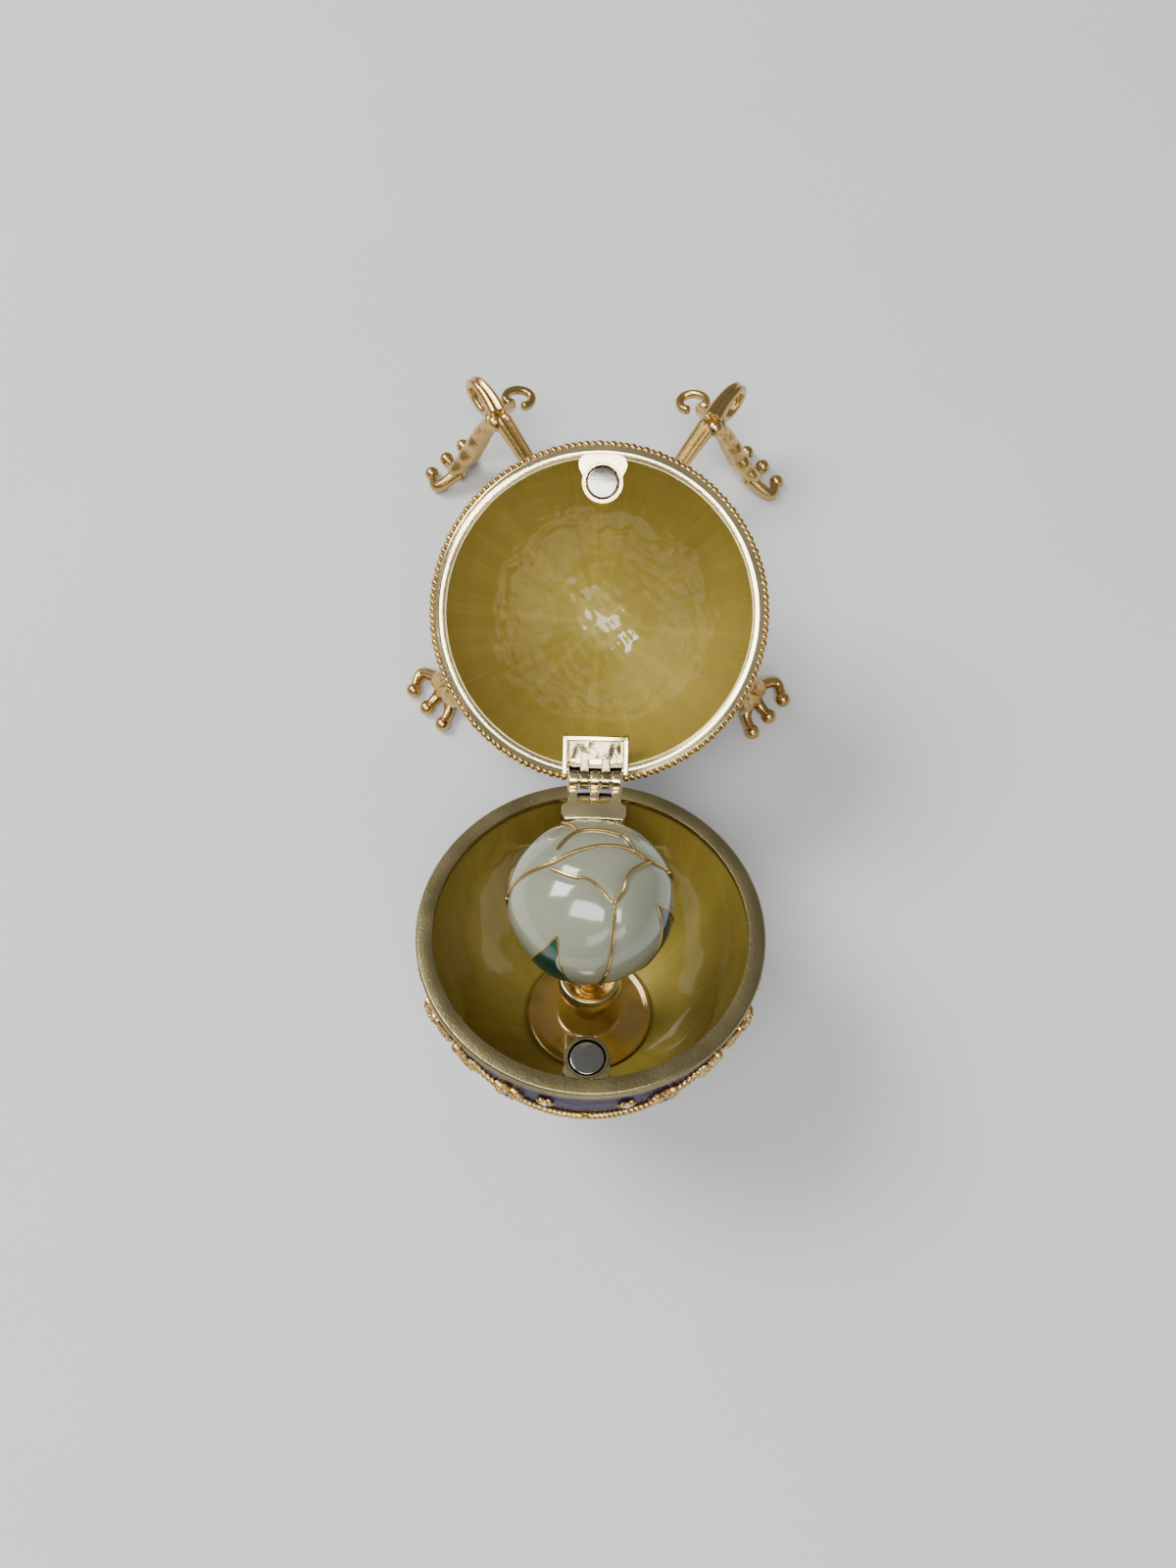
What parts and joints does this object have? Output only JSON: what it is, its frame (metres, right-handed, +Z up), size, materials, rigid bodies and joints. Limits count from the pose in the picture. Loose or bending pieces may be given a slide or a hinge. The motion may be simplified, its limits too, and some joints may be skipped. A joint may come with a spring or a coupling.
{
  "type": "jewelled egg trinket box",
  "caption": "Enamelled metal egg box lying open on its hinge, with a rosebud in the bowl and a loose scrolled stand under the lid.",
  "frame": {"origin": "centre of the bounding box in X and Y, at the table", "axes": "+Z up, +Y from the bowl towards the open lid and the stand, +X to the right when seen from the bowl's front"},
  "size_m": [0.076, 0.1466, 0.0598],
  "materials": {
    "navy_enamel": "glossy translucent enamel over cast metal",
    "gold": "polished gold plate, a little worn",
    "pale_gold": "polished pale gold plate",
    "steel": "satin grey magnet face",
    "white_enamel": "glossy white enamel",
    "amber_enamel": "glossy translucent amber enamel"
  },
  "bodies": {
    "base": {"bowl_shell": "navy_enamel", "bowl_foot": "gold", "bowl_magnet": "steel", "bowl_hinge_leaf": "pale_gold", "hinge_pin": "pale_gold", "rosebud": "white_enamel", "bud_stem": "gold", "bud_cup": "gold", "bud_base": "amber_enamel", "stand_ring": "gold", "stand_leg_rear_left": "gold", "stand_leg_rear_right": "gold", "stand_leg_front_left": "gold", "stand_leg_front_right": "gold"},
    "lid": {"lid_shell": "navy_enamel", "lid_magnet": "steel", "lid_hinge_leaf": "pale_gold"}
  },
  "joints": [
    {"name": "lid_hinge", "type": "hinge", "parent": "base", "child": "lid", "pos_m": [0, -0.01874, 0.03386], "axis": [1, 0, 0], "range_deg": [0, 140]}
  ]
}
